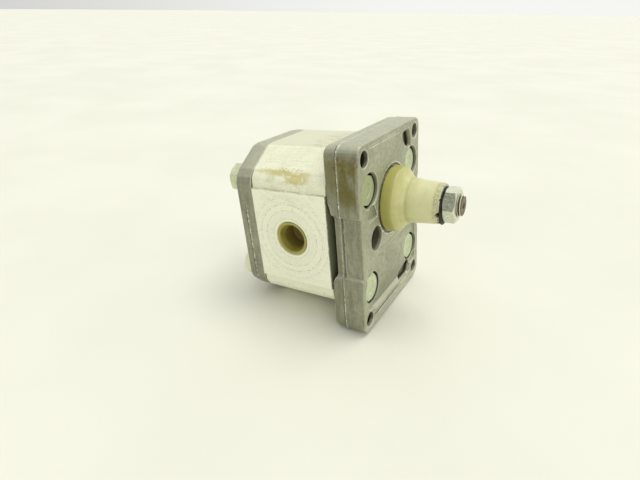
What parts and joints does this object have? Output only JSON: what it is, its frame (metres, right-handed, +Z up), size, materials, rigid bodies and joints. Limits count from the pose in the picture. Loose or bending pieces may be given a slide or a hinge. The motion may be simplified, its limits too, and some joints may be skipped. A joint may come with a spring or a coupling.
{
  "type": "hydraulic gear pump",
  "caption": "Aluminium hydraulic gear pump with a rectangular mounting flange, side ports with plastic plugs, tie bolts through its sections, and a capped taper drive shaft.",
  "frame": {"origin": "centre of the pilot boss, on the drive shaft's axis in the plane of the mounting face", "axes": "+X along the drive shaft, out of the pump; +Y across the flange, towards the outlet port; +Z up the flange, from the driven gear to the drive gear"},
  "size_m": [0.1336, 0.0874, 0.1122],
  "materials": {
    "cast_aluminium": "die-cast skin, mid grey, oil stains",
    "body_aluminium": "extruded and milled, bright satin",
    "block_aluminium": "machined satin",
    "gear_steel": "ground and hardened",
    "bush_bronze": "bronze-lined bearing, satin",
    "seal_rubber": "moulded nitrile, matte",
    "backup_plastic": "off-white, matte",
    "spring_steel": "dark steel, lightly oiled",
    "green_zinc": "pale green-white zinc plate, dull",
    "bright_zinc": "bright zinc plate, worn",
    "dark_steel": "blackened",
    "rusty_steel": "threaded end with brown rust",
    "cap_plastic": "cream moulded plastic, satin",
    "plug_plastic": "yellow moulded plastic, satin"
  },
  "bodies": {
    "housing": {"mounting_flange": "cast_aluminium", "pump_body": "body_aluminium", "rear_cover": "cast_aluminium", "front_bearing_block": "block_aluminium", "rear_bearing_block": "block_aluminium", "front_drive_bush": "bush_bronze", "front_driven_bush": "bush_bronze", "rear_drive_bush": "bush_bronze", "rear_driven_bush": "bush_bronze", "front_body_seal": "seal_rubber", "rear_body_seal": "seal_rubber", "front_balance_seal": "seal_rubber", "rear_balance_seal": "seal_rubber", "front_backup_ring": "backup_plastic", "rear_backup_ring": "backup_plastic", "shaft_seal": "seal_rubber", "seal_retaining_ring": "spring_steel", "dowel_pins": "spring_steel", "tie_bolts": "green_zinc", "tie_bolt_washers": "green_zinc", "tie_bolt_nuts": "green_zinc"},
    "drive_shaft": {"drive_gear_shaft": "gear_steel", "shaft_key": "spring_steel"},
    "driven_gear": {"driven_gear_shaft": "gear_steel"},
    "shaft_cap": {"shaft_protector": "cap_plastic", "nut_washer": "dark_steel", "shaft_nut": "bright_zinc"},
    "inlet_plug": {"inlet_plug": "plug_plastic"},
    "outlet_plug": {"outlet_plug": "plug_plastic"}
  },
  "joints": [
    {"name": "drive_shaft_spin", "type": "hinge", "parent": "housing", "child": "drive_shaft", "pos_m": [0, 0, 0], "axis": [1, 0, 0], "continuous": true},
    {"name": "driven_gear_spin", "type": "hinge", "parent": "housing", "child": "driven_gear", "pos_m": [0, 0, -0.0312], "axis": [1, 0, 0], "continuous": true},
    {"name": "shaft_cap_pull", "type": "slide", "parent": "drive_shaft", "child": "shaft_cap", "axis": [1, 0, 0], "range_m": [0, 0.045]},
    {"name": "inlet_plug_pull", "type": "slide", "parent": "housing", "child": "inlet_plug", "axis": [0, -1, 0], "range_m": [0, 0.02]},
    {"name": "outlet_plug_pull", "type": "slide", "parent": "housing", "child": "outlet_plug", "axis": [0, 1, 0], "range_m": [0, 0.02]}
  ],
  "couplings": [
    {"joint": "driven_gear_spin", "follows": "drive_shaft_spin", "ratio": -1}
  ]
}
